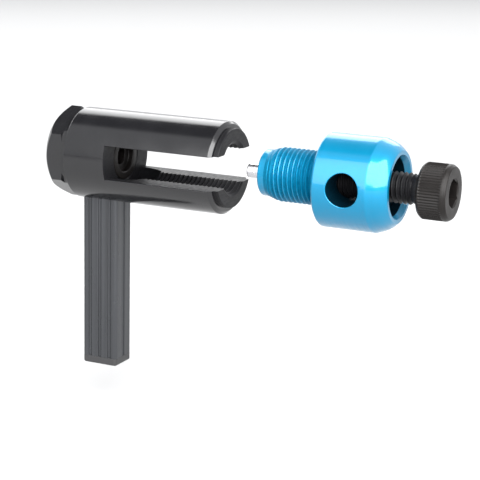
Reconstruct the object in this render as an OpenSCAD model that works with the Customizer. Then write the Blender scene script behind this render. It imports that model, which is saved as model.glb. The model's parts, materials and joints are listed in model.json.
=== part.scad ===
// Bicycle chain tool: a slotted barrel on a square handle, a screwed clamp knob, and a drive
// screw that pushes the chain pin out. X runs along the tool axis from the barrel's rear face
// towards the drive screw, Z is up and the handle hangs down. The origin is the centre of the
// barrel's rear face. Sizes are in millimetres.

/* [Barrel] */
// Outside diameter of the barrel
barrel_d = 24; // [22:0.1:32]
// Length of the barrel from its rear face to its front rim
barrel_len = 48.5; // [40:0.1:70]
// Bevel round the front rim
rim_bevel = 0.8; // [0.2:0.1:1.4]
// Diameter of the short nose in front of the rim
nose_d = 20.5; // [18:0.1:21]
// Length of the nose
nose_len = 1.3; // [0.5:0.1:4]

/* [Rear hexagon] */
// Distance across the flats of the hexagon
hex_flats = 21; // [19:0.1:21.5]
// Length of the hexagon
hex_len = 6.3; // [4:0.1:7]
// Radius that the rear bevel leaves at the end face
hex_end_r = 10; // [9:0.1:11]
// Width of the turned groove in front of the hexagon
hex_groove_w = 1.3; // [0.6:0.1:1.5]
// Radius left at the bottom of that groove
hex_groove_r = 11.3; // [11:0.1:11.9]

/* [Chain slot] */
// Distance from the rear face to the back of the chain slot
slot_back = 18.2; // [17:0.1:24]
// Height of the slot, which guides the chain's side plates
slot_h = 8.7; // [7:0.1:9.5]
// Radius of the hollow at the back of the slot
chamber_r = 9.8; // [8:0.1:10.4]
// Length over which the hollow closes to the threaded bore
chamber_len = 8; // [4:0.1:12]

/* [Clamp thread] */
// Nominal diameter of the clamp thread
clamp_thread_d = 14; // [13.5:0.1:15]
// Radial gap between the screwed parts
thread_gap = 0.05; // [0.02:0.01:0.1]

/* [Anvil and rear plug] */
// Diameter of the hardened anvil
anvil_d = 12; // [11:0.1:13]
// Length of the anvil
anvil_len = 9; // [6:0.1:10]
// Diameter of the shallow seat in the anvil's face
anvil_seat_d = 8.2; // [6:0.1:9]
// Depth of that seat
anvil_seat_depth = 1.5; // [0.5:0.1:3]
// Diameter of the hole that the chain pin leaves through, in the anvil and the plug
exit_hole_d = 4.5; // [4:0.1:5]
// Diameter of the rear plug
plug_d = 10; // [8.6:0.1:11.6]
// Diameter of the two holes for a pin spanner
spanner_hole_d = 1.6; // [1:0.1:2]
// Distance between those two holes
spanner_hole_pitch = 7.2; // [6.8:0.1:7.6]
// Depth of those two holes
spanner_hole_depth = 2.5; // [1:0.1:5]

/* [Handle] */
// Size of the handle along the tool axis
handle_w = 10.2; // [9:0.1:12]
// Size of the handle across the tool axis
handle_t = 8.2; // [7.8:0.1:10]
// Distance from the tool axis to the foot of the end cap
handle_drop = 57; // [45:0.5:110]
// Distance from the rear face to the middle of the handle
handle_x = 12.7; // [12:0.1:16]
// Rounding of the handle's corners
handle_corner_r = 0.9; // [0.4:0.1:1.5]
// Width of the grooves along the handle
groove_w = 0.9; // [0.5:0.1:1.2]
// Depth of the grooves along the handle
groove_depth = 0.45; // [0.2:0.05:0.7]
// Spacing of the three grooves on each broad side
groove_pitch = 2.9; // [2:0.1:3.2]
// Diameter of the stud that joins handle and barrel
stud_d = 5; // [4:0.1:6]
// Depth of the stud in the handle
stud_depth = 12; // [8:0.5:16]

/* [Handle end cap] */
// Thickness of the cap's flange
cap_flange = 2; // [1.5:0.1:4]
// Diameter of the cap's stem
cap_stem_d = 5; // [4.4:0.1:5.4]
// Length of the cap's stem
cap_stem_len = 11; // [9:0.5:14]
// Diameter of the O-ring's wire
ring_wire_d = 0.8; // [0.6:0.05:1]
// Depth of the spare push pin's seat in the cap's stem
spare_pin_seat = 8; // [5:0.5:8]
// Length of the spare push pin that stands out of the cap's stem
spare_pin_len = 14; // [8:0.5:16]

/* [Clamp knob] */
// Diameter of the knob
knob_d = 23.6; // [20:0.1:30]
// Length of the knob's body
knob_len = 19; // [17:0.1:26]
// Length of the knob's tapered front
knob_nose_len = 4.8; // [4:0.1:8]
// Wall of the knob's front rim, outside the counterbore's bevelled mouth
rim_wall = 2.1; // [1:0.1:2.4]
// Gap round the screw's head in the counterbore
head_room = 0.35; // [0.2:0.05:0.6]
// Depth of the counterbore that takes the screw's head
counterbore_depth = 6.2; // [4:0.1:6.4]
// How much wider the bevel makes the counterbore's mouth, all round
mouth_bevel = 0.65; // [0.3:0.05:1]
// Length of that bevel
mouth_bevel_len = 1.5; // [0.5:0.1:3]
// Diameter of the cross hole for a tommy bar
cross_hole_d = 8.4; // [6:0.1:9]
// Distance from the knob's back to the cross hole
cross_hole_x = 8.2; // [7:0.1:9]
// Length of the threaded shank with its pilot
shank_len = 16.9; // [14:0.1:24]
// Length of the smooth pilot at the shank's tip
pilot_len = 1.8; // [1:0.1:6]
// Wall of the pilot round the thread insert
pilot_wall = 1; // [0.6:0.1:1.2]
// Length over which the thread rises from the pilot
thread_lead = 3; // [0.5:0.1:4]
// Gap between the pilot's tip and the barrel's nose, with the knob screwed right out
knob_gap = 9; // [2:0.1:20]

/* [Insert and thrust bush] */
// Wall of the steel thread insert round the drive screw
insert_wall = 0.9; // [0.7:0.1:1]
// Length of the insert's threaded stretch
insert_thread_len = 12.6; // [9:0.1:13]
// Thickness of the thrust bush
bush_len = 1.8; // [1.4:0.1:2.4]
// Diameter of the snap ring's wire
snap_wire_d = 0.5; // [0.4:0.05:0.6]

/* [Drive screw] */
// Nominal diameter of the drive screw
screw_d = 8; // [7.6:0.1:8.4]
// Length of the drive screw under its head
screw_len = 27.5; // [26:0.1:29]
// Diameter of the screw's head
head_d = 14; // [13:0.1:15]
// Length of the screw's head
head_len = 7.6; // [6:0.1:9]
// Distance across the flats of the hexagon socket
socket_flats = 6.5; // [5:0.1:7]
// Depth of the hexagon socket
socket_depth = 4.2; // [3:0.1:5]
// Distance from the counterbore's mouth to the head, with the screw turned back
head_gap = 6; // [2:0.1:8]

/* [Screw washer] */
// Diameter of the washer on the counterbore's floor
washer_d = 14; // [12:0.1:15]
// Thickness of the washer
washer_len = 0.5; // [0.3:0.1:1]

/* [Push pin] */
// Diameter of the push pin
pin_d = 3.6; // [3:0.1:3.8]
// How far the push pin stands out of the thrust bush at rest
pin_reach = 4.8; // [2:0.1:5]
// Diameter of the push pin's head
pin_head_d = 5; // [4.6:0.1:5.2]
// Length of the push pin's head
pin_head_len = 1.9; // [1.5:0.1:2.5]
// Diameter of the thrust ball behind the push pin
ball_d = 4; // [2.5:0.1:4.6]

/* [Hidden] */
$fn = 96;
cut = 1;                      // how far a cut runs past the face that it opens
small_gap = 0.1;              // gap between still pieces that lie side by side

edge_bevel = 0.3;             // small bevel on turned edges
rear_bevel_slope = 0.9;       // length of the hexagon's rear bevel for each unit of its depth
barrel_r = barrel_d / 2;
hex_corner_r = hex_flats / sqrt(3);
nose_end = barrel_len + nose_len;
bore_r = clamp_thread_d / 2;
shank_r = bore_r - thread_gap;
anvil_back = slot_back - anvil_len;
stud_hole_top = anvil_d / 4;  // the stud's hole breaks into the anvil's bore

handle_top = sqrt(pow(barrel_r, 2) - pow(handle_t / 2, 2));
handle_foot = handle_drop - cap_flange;
handle_bore_d = cap_stem_d + 2 * small_gap;
ring_squeeze = 0.02;          // how far the O-ring stays inside the handle's bore
spare_pin_start = cap_stem_len - spare_pin_seat;
spare_pin_end = cap_stem_len + spare_pin_len;

shank_tip = nose_end + knob_gap;
knob_back = shank_tip + shank_len;
knob_front = knob_back + knob_len;
cross_x = knob_back + cross_hole_x;
counterbore_floor = knob_front - counterbore_depth;
counterbore_r = head_d / 2 + head_room;
mouth_r = counterbore_r + mouth_bevel;
knob_rim_r = mouth_r + rim_wall;
knob_rim_edge = 1.4;          // rounding of the front rim
knob_edge_r = 0.8;            // rounding of the knob's back edge
cross_hole_wall = 0.6;        // between the cross hole and the thread insert

pocket_r = screw_d / 2 + insert_wall;
pilot_r = pocket_r + pilot_wall;
bush_face = shank_tip + small_gap;
bush_back = bush_face + bush_len;
bush_step = bush_len / 2;
bush_lip_r = pocket_r - snap_wire_d - small_gap;
snap_ring_seat = 0.15;        // how deep the snap ring sits in the pocket's wall
snap_ring_r = pocket_r - snap_wire_d / 2 + snap_ring_seat;
snap_ring_gap = 0.05;
snap_ring_x = bush_face + bush_step - snap_wire_d / 2 - snap_ring_gap;
insert_front = bush_back + small_gap;
insert_back = cross_x - cross_hole_d / 2 - cross_hole_wall;
insert_relief_end = insert_back - insert_thread_len;
insert_relief = 0.15;         // how much wider the insert's unthreaded stretch is, all round
screw_r = screw_d / 2 - thread_gap;
insert_bore_r = screw_d / 2;
knob_bore_r = screw_d / 2 + 0.3;

head_back = knob_front + head_gap;
head_front = head_back + head_len;
screw_tip = head_back - screw_len;
screw_tip_bevel = 0.6;
head_edge_r = 0.6;            // rounding of the head's front edge
pin_tip = bush_face - pin_reach;
pin_socket_r = pin_head_d / 2 + small_gap;
pin_ring_len = 0.8;
pin_ring_inset = 0.3;
pin_ring_x = screw_tip + pin_ring_inset;
pin_tip_bevel = 0.4;
pin_head_x = pin_ring_x + pin_ring_len + small_gap;
ball_x = pin_head_x + pin_head_len + ball_d / 2;
pin_socket_depth = ball_x + ball_d / 2 - screw_tip;

// A quarter ellipse from angle a0 to a1, centred on [cr, cx], with radii rr and rx.
function arc(cr, cx, rr, rx, a0, a1, steps = 12) =
  [for (i = [0 : steps]) let (a = a0 + (a1 - a0) * i / steps) [cr + rr * cos(a), cx + rx * sin(a)]];

// A turned solid about the tool axis, from points [radius, x].
module turned(points) {
  rotate([0, 90, 0]) rotate_extrude() polygon(points);
}

// A round bar along the tool axis, from x0 to x1.
module bar(x0, x1, r) {
  translate([x0, 0, 0]) rotate([0, 90, 0]) cylinder(h = x1 - x0, r = r);
}

// A ring of round wire about the tool axis.
module wire_ring(x, r, wire) {
  translate([x, 0, 0]) rotate([0, 90, 0]) rotate_extrude() translate([r, 0]) circle(d = wire, $fn = 24);
}

// A hexagonal bar along the tool axis with two corners up and down.
module hex_bar(x0, x1, corner_r) {
  translate([x0, 0, 0]) rotate([0, 90, 0]) cylinder(h = x1 - x0, r = corner_r, $fn = 6);
}

// The handle's outline, with its corners rounded.
module handle_outline() {
  w = handle_w / 2 - handle_corner_r;
  t = handle_t / 2 - handle_corner_r;
  square([2 * w, handle_t], center = true);
  square([handle_w, 2 * t], center = true);
  for (sx = [-1, 1], sy = [-1, 1]) translate([sx * w, sy * t]) circle(r = handle_corner_r, $fn = 32);
}

// One groove's section, round at the bottom, cut down from a face at y = 0.
module groove() {
  translate([0, groove_w / 2 - groove_depth]) circle(d = groove_w, $fn = 24);
  translate([-groove_w / 2, groove_w / 2 - groove_depth]) square([groove_w, cut]);
}

// The handle's grooves, three on each broad side and one on each narrow side.
module handle_grooves() {
  for (i = [-1 : 1], turn = [0, 180])
    rotate(turn) translate([i * groove_pitch, handle_t / 2]) groove();
  for (turn = [90, 270])
    rotate(turn) translate([0, handle_w / 2]) groove();
}

module barrel() {
  color([0.05, 0.05, 0.055]) difference() {
    union() {
      intersection() {
        hex_bar(0, hex_len, hex_corner_r);
        turned([[0, 0], [hex_end_r, 0], [hex_corner_r, (hex_corner_r - hex_end_r) * rear_bevel_slope],
                [hex_corner_r, hex_len], [0, hex_len]]);
      }
      turned([[0, hex_len], [barrel_r - edge_bevel, hex_len], [barrel_r, hex_len + edge_bevel],
              [barrel_r, barrel_len - rim_bevel], [barrel_r - rim_bevel, barrel_len],
              [nose_d / 2, barrel_len], [nose_d / 2, nose_end - edge_bevel],
              [nose_d / 2 - edge_bevel, nose_end], [0, nose_end]]);
    }
    difference() {
      bar(hex_len - hex_groove_w, hex_len, barrel_r + cut);
      bar(hex_len - hex_groove_w, hex_len, hex_groove_r);
    }
    bar(slot_back, nose_end + cut, bore_r);
    turned(concat([[0, slot_back]],
                  arc(bore_r, slot_back, chamber_r - bore_r, chamber_len, 0, 90),
                  [[0, slot_back + chamber_len]]));
    translate([slot_back, -barrel_r - cut, -slot_h / 2])
      cube([nose_end - slot_back + cut, barrel_d + 2 * cut, slot_h]);
    bar(anvil_back, slot_back + cut, anvil_d / 2);
    bar(-cut, anvil_back + cut, plug_d / 2);
    translate([handle_x, 0, -barrel_r - cut]) cylinder(h = barrel_r + cut - stud_hole_top, d = stud_d);
  }
}

module anvil() {
  color([0.2, 0.2, 0.21]) difference() {
    turned([[0, anvil_back], [anvil_d / 2 - edge_bevel, anvil_back],
            [anvil_d / 2, anvil_back + edge_bevel], [anvil_d / 2, slot_back], [0, slot_back]]);
    bar(anvil_back - cut, slot_back + cut, exit_hole_d / 2);
    bar(slot_back - anvil_seat_depth, slot_back + cut, anvil_seat_d / 2);
  }
}

module rear_plug() {
  color([0.35, 0.35, 0.37]) difference() {
    bar(0, anvil_back, plug_d / 2);
    bar(-cut, anvil_back + cut, exit_hole_d / 2);
    for (side = [-1, 1])
      translate([0, side * spanner_hole_pitch / 2, 0]) bar(-cut, spanner_hole_depth, spanner_hole_d / 2);
  }
}

module handle_stud() {
  color([0.6, 0.6, 0.62])
    translate([handle_x, 0, -handle_top - stud_depth])
      cylinder(h = handle_top + stud_depth - anvil_d / 2 - small_gap, d = stud_d);
}

module handle_bar() {
  color([0.12, 0.12, 0.13]) difference() {
    translate([handle_x, 0, -handle_foot])
      linear_extrude(height = handle_foot - anvil_d / 2) difference() {
        handle_outline();
        handle_grooves();
      }
    bar(0, barrel_len, barrel_r);
    translate([handle_x, 0, -handle_top - stud_depth - small_gap])
      cylinder(h = handle_top + stud_depth, d = stud_d);
    translate([handle_x, 0, -handle_foot - cut])
      cylinder(h = spare_pin_end + small_gap + cut, d = handle_bore_d);
  }
}

module handle_end_cap() {
  color([0.08, 0.08, 0.085]) difference() {
    union() {
      translate([handle_x, 0, -handle_drop]) linear_extrude(height = cap_flange) handle_outline();
      translate([handle_x, 0, -handle_foot]) cylinder(h = cap_stem_len, d = cap_stem_d);
    }
    translate([handle_x, 0, -handle_foot + cap_stem_len / 2]) rotate_extrude()
      translate([cap_stem_d / 2, 0]) circle(d = ring_wire_d, $fn = 24);
    translate([handle_x, 0, -handle_foot + spare_pin_start]) cylinder(h = cap_stem_len, d = pin_d);
  }
}

module end_cap_o_ring() {
  color([0.03, 0.03, 0.03]) translate([handle_x, 0, -handle_foot + cap_stem_len / 2])
    rotate_extrude() intersection() {
      translate([cap_stem_d / 2, 0]) circle(d = ring_wire_d, $fn = 24);
      square([handle_bore_d - ring_squeeze, ring_wire_d * 2], center = true);
    }
}

module spare_push_pin() {
  color([0.7, 0.7, 0.72]) translate([handle_x, 0, -handle_foot + spare_pin_start])
    cylinder(h = spare_pin_end - spare_pin_start, d = pin_d);
}

module clamp_knob() {
  color([0.06, 0.62, 0.86]) difference() {
    turned(concat(
      [[0, shank_tip], [pilot_r - edge_bevel, shank_tip], [pilot_r, shank_tip + edge_bevel],
       [pilot_r, shank_tip + pilot_len], [shank_r, shank_tip + pilot_len + thread_lead],
       [shank_r, knob_back]],
      arc(knob_d / 2 - knob_edge_r, knob_back + knob_edge_r, knob_edge_r, knob_edge_r, -90, 0, 6),
      [[knob_d / 2, knob_front - knob_nose_len]],
      arc(knob_rim_r - knob_rim_edge, knob_front - knob_rim_edge, knob_rim_edge, knob_rim_edge, 0, 90, 8),
      [[0, knob_front]]));
    bar(shank_tip - cut, insert_back, pocket_r);
    wire_ring(snap_ring_x, snap_ring_r, snap_wire_d);
    bar(insert_back - cut, counterbore_floor + cut, knob_bore_r);
    bar(counterbore_floor, knob_front + cut, counterbore_r);
    turned([[0, knob_front - mouth_bevel_len], [counterbore_r, knob_front - mouth_bevel_len],
            [mouth_r, knob_front], [0, knob_front]]);
    translate([cross_x, -knob_d, 0]) rotate([-90, 0, 0]) cylinder(h = 2 * knob_d, d = cross_hole_d);
  }
}

module thread_insert() {
  color([0.75, 0.68, 0.4]) difference() {
    bar(insert_front, insert_back, pocket_r);
    bar(insert_front - cut, insert_back + cut, insert_bore_r);
    bar(insert_front - cut, insert_relief_end, insert_bore_r + insert_relief);
  }
}

module bush_snap_ring() {
  color([0.7, 0.7, 0.72]) wire_ring(snap_ring_x, snap_ring_r, snap_wire_d - snap_ring_gap);
}

module thrust_bush() {
  color([0.45, 0.45, 0.47]) difference() {
    turned([[0, bush_face], [bush_lip_r, bush_face], [bush_lip_r, bush_face + bush_step],
            [pocket_r - thread_gap, bush_face + bush_step], [pocket_r - thread_gap, bush_back],
            [0, bush_back]]);
    bar(bush_face - cut, bush_back + cut, pin_d / 2 + thread_gap);
  }
}

module drive_screw() {
  color([0.1, 0.09, 0.09]) difference() {
    turned(concat(
      [[0, screw_tip], [screw_r - screw_tip_bevel, screw_tip], [screw_r, screw_tip + screw_tip_bevel],
       [screw_r, head_back], [head_d / 2 - head_edge_r, head_back],
       [head_d / 2, head_back + head_edge_r]],
      arc(head_d / 2 - head_edge_r, head_front - head_edge_r, head_edge_r, head_edge_r, 0, 90, 8),
      [[0, head_front]]));
    hex_bar(head_front - socket_depth, head_front + cut, socket_flats / sqrt(3));
    bar(screw_tip - cut, screw_tip + pin_socket_depth, pin_socket_r);
  }
}

module screw_washer() {
  color([0.3, 0.3, 0.31]) difference() {
    bar(counterbore_floor, counterbore_floor + washer_len, washer_d / 2);
    bar(counterbore_floor - cut, counterbore_floor + washer_len + cut, knob_bore_r);
  }
}

module push_pin() {
  color([0.7, 0.7, 0.72]) turned([
    [0, pin_tip], [pin_d / 2 - pin_tip_bevel, pin_tip], [pin_d / 2, pin_tip + pin_tip_bevel],
    [pin_d / 2, pin_head_x], [pin_head_d / 2, pin_head_x],
    [pin_head_d / 2, pin_head_x + pin_head_len], [0, pin_head_x + pin_head_len]]);
}

module thrust_ball() {
  color([0.8, 0.8, 0.82]) translate([ball_x, 0, 0]) sphere(d = ball_d, $fn = 48);
}

module pin_retaining_ring() {
  color([0.3, 0.3, 0.31]) difference() {
    bar(pin_ring_x, pin_ring_x + pin_ring_len, pin_socket_r);
    bar(pin_ring_x - cut, pin_ring_x + pin_ring_len + cut, pin_d / 2 + thread_gap);
  }
}

barrel();
anvil();
rear_plug();
handle_stud();
handle_bar();
handle_end_cap();
end_cap_o_ring();
spare_push_pin();
clamp_knob();
thread_insert();
bush_snap_ring();
thrust_bush();
drive_screw();
push_pin();
thrust_ball();
pin_retaining_ring();
screw_washer();
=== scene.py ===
import json
import math

import bmesh
import bpy
from bpy.props import FloatProperty, FloatVectorProperty, IntProperty, PointerProperty
from mathutils import Matrix, Vector


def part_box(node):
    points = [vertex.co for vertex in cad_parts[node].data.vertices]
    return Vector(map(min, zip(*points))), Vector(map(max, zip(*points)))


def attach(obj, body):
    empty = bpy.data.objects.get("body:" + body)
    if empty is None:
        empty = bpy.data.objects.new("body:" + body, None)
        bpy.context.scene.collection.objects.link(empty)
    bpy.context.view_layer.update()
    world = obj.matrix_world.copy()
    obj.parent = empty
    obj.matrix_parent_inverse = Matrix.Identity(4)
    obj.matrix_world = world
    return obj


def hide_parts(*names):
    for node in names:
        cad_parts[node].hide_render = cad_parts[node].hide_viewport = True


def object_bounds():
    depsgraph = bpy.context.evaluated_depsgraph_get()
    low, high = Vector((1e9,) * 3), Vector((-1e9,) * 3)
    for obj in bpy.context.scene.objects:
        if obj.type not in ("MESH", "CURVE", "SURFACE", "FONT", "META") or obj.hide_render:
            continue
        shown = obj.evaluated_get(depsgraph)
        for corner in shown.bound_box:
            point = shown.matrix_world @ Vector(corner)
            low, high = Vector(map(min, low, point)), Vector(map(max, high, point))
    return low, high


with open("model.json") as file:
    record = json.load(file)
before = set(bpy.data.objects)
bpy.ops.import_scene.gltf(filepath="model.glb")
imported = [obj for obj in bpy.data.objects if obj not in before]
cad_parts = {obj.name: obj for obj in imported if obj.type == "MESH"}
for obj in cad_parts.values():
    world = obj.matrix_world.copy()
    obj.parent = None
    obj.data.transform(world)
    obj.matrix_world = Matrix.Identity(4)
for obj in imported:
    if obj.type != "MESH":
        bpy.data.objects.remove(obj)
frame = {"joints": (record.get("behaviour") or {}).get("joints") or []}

bl_info = {
    "name": "Bicycle Chain Tool",
    "version": (1, 0, 0),
    "blender": (4, 5, 0),
    "location": "3D View > Sidebar > Chain Tool",
    "description": "Makes a bicycle chain tool and the studio round it",
    "category": "Object",
}

CAD_LOW, CAD_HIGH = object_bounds()
MM = 0.001
TURN = 2 * math.pi
SIDES = 128              # facets round a turned piece
NEAR = 1e-6              # points closer than this are one point
PAST = MM                # how far a cutter or a joined piece reaches past a face
PIN_R = 1.8 * MM         # radius of the push pin's stem
PIN_GAP = 0.05 * MM      # between the push pin and what it runs in
FLOOR_GAP = 12 * MM      # room under the handle for its end cap when it is pulled out


# --- Sizes read from the frame, in metres ------------------------------------------------------

def low(node):
    """The lowest corner of a piece."""
    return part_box(node)[0]


def high(node):
    """The highest corner of a piece."""
    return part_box(node)[1]


def joint(name):
    """The record of a joint."""
    return next(j for j in frame["joints"] if j["name"] == name)


BARREL_R = high("barrel").y
HEX_CORNER_R = high("barrel").z
NOSE_END = high("barrel").x
SLOT_BACK = high("anvil").x
ANVIL_BACK = low("anvil").x
ANVIL_R = high("anvil").y
SHANK_TIP = low("clamp_knob").x
KNOB_FRONT = high("clamp_knob").x
KNOB_R = high("clamp_knob").z
KNOB_BACK = joint("knob_turn")["pos_m"][0]
HEAD_BACK = joint("screw_turn")["pos_m"][0]
HEAD_FRONT = high("drive_screw").x
HEAD_R = high("drive_screw").z
SCREW_TIP = low("drive_screw").x
FLOOR_Z = CAD_LOW.z - FLOOR_GAP


# --- Properties --------------------------------------------------------------------------------

def length(name, description, millimetres):
    """A length that a user can change, given in millimetres."""
    return FloatProperty(name=name, description=description, default=millimetres * MM,
                         min=0.0, unit="LENGTH", precision=4)


def count(name, description, default):
    """A number of things that a user can change."""
    return IntProperty(name=name, description=description, default=default, min=1)


def colour(name, description, default):
    """A colour that a user can change."""
    return FloatVectorProperty(name=name, description=description, default=default,
                               min=0.0, max=1.0, size=3, subtype="COLOR")


class BarrelSizes(bpy.types.PropertyGroup):
    hex_length: length("Hexagon length", "Length of the rear hexagon", 6.3)
    hex_end_r: length("Hexagon end radius", "Radius that the rear bevel leaves", 10.0)
    hex_groove: length("Groove width", "Width of the groove in front of the hexagon", 1.3)
    hex_groove_r: length("Groove radius", "Radius at the bottom of that groove", 11.3)
    rim_x: length("Rim position", "Distance from the rear face to the front rim", 48.5)
    rim_bevel: length("Rim bevel", "Bevel round the front rim", 0.8)
    nose_r: length("Nose radius", "Radius of the short nose", 10.25)
    slot_half: length("Slot half height", "Half the height of the chain slot", 4.35)
    slot_lip: length("Slot lip", "Rounding of the slot's long edges", 0.22)
    chamber_r: length("Chamber radius", "Radius of the hollow at the back of the slot", 9.8)
    chamber_length: length("Chamber length", "Length of that hollow", 8.0)
    plug_r: length("Plug radius", "Radius of the rear plug", 5.0)
    exit_hole_r: length("Exit hole radius", "Radius of the hole for the chain pin", 2.25)
    anvil_seat_r: length("Anvil seat radius", "Radius of the seat in the anvil's face", 4.1)
    anvil_seat: length("Anvil seat depth", "Depth of that seat", 1.5)


class ThreadSizes(bpy.types.PropertyGroup):
    pitch: length("Pitch", "Distance between two turns of either thread", 1.25)
    clamp_major_r: length("Clamp thread radius", "Outer radius of the shank's thread", 6.9)
    clamp_minor_r: length("Clamp root radius", "Root radius of the shank's thread", 6.17)
    screw_major_r: length("Screw thread radius", "Outer radius of the screw's thread", 3.93)
    screw_minor_r: length("Screw root radius", "Root radius of the screw's thread", 3.22)
    play: length("Thread play", "Gap between screwed pieces", 0.08)


class KnobSizes(bpy.types.PropertyGroup):
    pilot_r: length("Pilot radius", "Radius of the smooth pilot", 5.9)
    pilot_length: length("Pilot length", "Length of the smooth pilot", 1.8)
    thread_lead: length("Thread lead", "Length over which the thread rises", 3.0)
    pocket_r: length("Pocket radius", "Radius of the bore that takes insert and bush", 4.9)
    nose_length: length("Front length", "Length of the knob's tapered front", 4.8)
    rim_r: length("Rim radius", "Radius where the front turns into its rim", 10.6)
    rim_fall: length("Rim fall", "Length of the front's steeper rim", 1.5)
    rim_edge: length("Rim edge", "Wall of the rim round the mouth", 1.0)
    mouth_r: length("Mouth radius", "Radius of the counterbore's bevelled mouth", 8.0)
    mouth_bevel: length("Mouth bevel", "Length of the mouth's bevel", 1.5)
    counterbore_r: length("Counterbore radius", "Radius of the counterbore", 7.35)
    counterbore_depth: length("Counterbore depth", "Depth of the counterbore", 6.2)
    bore_r: length("Bore radius", "Radius of the bore behind the counterbore", 4.3)
    cross_x: length("Cross hole position", "Distance from the knob's back to the cross hole", 8.2)
    cross_r: length("Cross hole radius", "Radius of the cross hole", 4.2)
    cross_lip: length("Cross hole lip", "Rounding of the cross hole's edge", 0.25)


class ScrewSizes(bpy.types.PropertyGroup):
    ridges: count("Ridges", "Number of knurled ridges round the head", 60)
    ridge_depth: length("Ridge depth", "Depth of the knurling", 0.22)
    socket_flats: length("Socket size", "Distance across the socket's flats", 6.5)
    socket_depth: length("Socket depth", "Depth of the hexagon socket", 4.2)
    socket_bevel: length("Socket bevel", "Bevel round the socket's mouth", 0.3)
    neck: length("Neck length", "Plain length under the head", 1.6)


class HandleSizes(bpy.types.PropertyGroup):
    corner_r: length("Corner radius", "Rounding of the handle's corners", 0.9)
    groove_width: length("Groove width", "Width of the long grooves", 0.9)
    groove_depth: length("Groove depth", "Depth of the long grooves", 0.45)
    groove_pitch: length("Groove spacing", "Spacing of the grooves on a broad side", 2.9)


class Finishes(bpy.types.PropertyGroup):
    black: colour("Black anodising", "Colour of the barrel", (0.005, 0.005, 0.0058))
    handle: colour("Handle", "Colour of the handle", (0.05, 0.052, 0.056))
    blue: colour("Blue anodising", "Colour of the clamp knob", (0.0, 0.155, 0.285))
    oxide: colour("Black oxide", "Colour of the drive screw", (0.007, 0.006, 0.0056))
    steel: colour("Bright steel", "Colour of pins and ball", (0.56, 0.56, 0.58))
    bronze: colour("Bronze", "Colour of the thrust bush", (0.5, 0.32, 0.14))
    plastic: colour("Plastic", "Colour of the end cap", (0.015, 0.015, 0.016))
    rubber: colour("Rubber", "Colour of the O-ring", (0.012, 0.012, 0.012))
    floor: colour("Floor", "Colour of the floor", (0.4, 0.4, 0.4))


SETTINGS = {"chain_barrel": BarrelSizes, "chain_thread": ThreadSizes, "chain_knob": KnobSizes,
            "chain_screw": ScrewSizes, "chain_handle": HandleSizes, "chain_finish": Finishes}


# --- Mesh helpers ------------------------------------------------------------------------------

def new_object(name, mesh):
    """A new object in the scene."""
    piece = bpy.data.objects.new(name, mesh)
    bpy.context.scene.collection.objects.link(piece)
    return piece


def rounded(points, steps=6):
    """An outline whose corners are rounded. A point is (a, b), or (a, b, radius) to round it."""
    outline = []
    total = len(points)
    for i, point in enumerate(points):
        corner = Vector(point[:2])
        if len(point) == 2:
            outline.append(corner)
            continue
        before = Vector(points[i - 1][:2]) - corner
        after = Vector(points[(i + 1) % total][:2]) - corner
        opening = before.angle(after)
        inset = point[2] / math.tan(opening / 2)
        start = corner + before.normalized() * inset
        end = corner + after.normalized() * inset
        middle = corner + (before.normalized() + after.normalized()).normalized() * (
            point[2] / math.sin(opening / 2))
        first, last = start - middle, end - middle
        sweep = first.angle(last)
        for k in range(steps + 1):
            share = k / steps
            outline.append(middle + (first * math.sin((1 - share) * sweep)
                                     + last * math.sin(share * sweep)) / math.sin(sweep))
    return outline


def close_mesh(mesh_data, name):
    """A tidy mesh: doubles merged, faces pointing outwards."""
    bmesh.ops.remove_doubles(mesh_data, verts=mesh_data.verts, dist=NEAR)
    bmesh.ops.dissolve_degenerate(mesh_data, edges=mesh_data.edges, dist=NEAR / 10)
    bmesh.ops.recalc_face_normals(mesh_data, faces=mesh_data.faces)
    mesh = bpy.data.meshes.new(name)
    mesh_data.to_mesh(mesh)
    mesh_data.free()
    return mesh


def turned(name, outline, sides=SIDES):
    """A turned piece about the tool axis, from a closed outline of (radius, x)."""
    shape = bmesh.new()
    rings = []
    for k in range(sides):
        angle = TURN * k / sides
        rings.append([shape.verts.new((x, r * math.cos(angle), r * math.sin(angle)))
                      for r, x in outline])
    total = len(outline)
    for k in range(sides):
        ring, following = rings[k], rings[(k + 1) % sides]
        for i in range(total):
            j = (i + 1) % total
            if outline[i][0] < NEAR and outline[j][0] < NEAR:
                continue
            shape.faces.new((ring[i], ring[j], following[j], following[i]))
    return new_object(name, close_mesh(shape, name))


def extruded(name, outline, start, end, place):
    """A straight piece from a closed outline. place(a, b, along) gives a point's position."""
    shape = bmesh.new()
    ends = [[shape.verts.new(place(a, b, along)) for a, b in outline] for along in (start, end)]
    total = len(outline)
    for i in range(total):
        j = (i + 1) % total
        shape.faces.new((ends[0][i], ends[0][j], ends[1][j], ends[1][i]))
    shape.faces.new(ends[0])
    shape.faces.new(ends[1])
    return new_object(name, close_mesh(shape, name))


def along_x(a, b, along):
    """A point of an outline drawn in Y and Z."""
    return along, a, b


def hexagon(corner_r):
    """The corners of a hexagon that has one corner at the top."""
    angles = [TURN / 4 + TURN * k / 6 for k in range(6)]
    return [(corner_r * math.cos(angle), corner_r * math.sin(angle)) for angle in angles]


def applied(piece):
    """The piece with its modifiers made into plain mesh."""
    bpy.context.view_layer.update()
    graph = bpy.context.evaluated_depsgraph_get()
    mesh = bpy.data.meshes.new_from_object(piece.evaluated_get(graph))
    piece.modifiers.clear()
    old = piece.data
    piece.data = mesh
    mesh.name = piece.name
    bpy.data.meshes.remove(old)
    return piece


def joined(piece, *others, how="UNION"):
    """Adds, cuts away or keeps in common other closed pieces, which are used up."""
    for other in others:
        step = piece.modifiers.new("join", "BOOLEAN")
        step.operation = how
        step.object = other
        step.solver = "MANIFOLD"
        applied(piece)
        bpy.data.objects.remove(other)
    return piece


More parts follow.
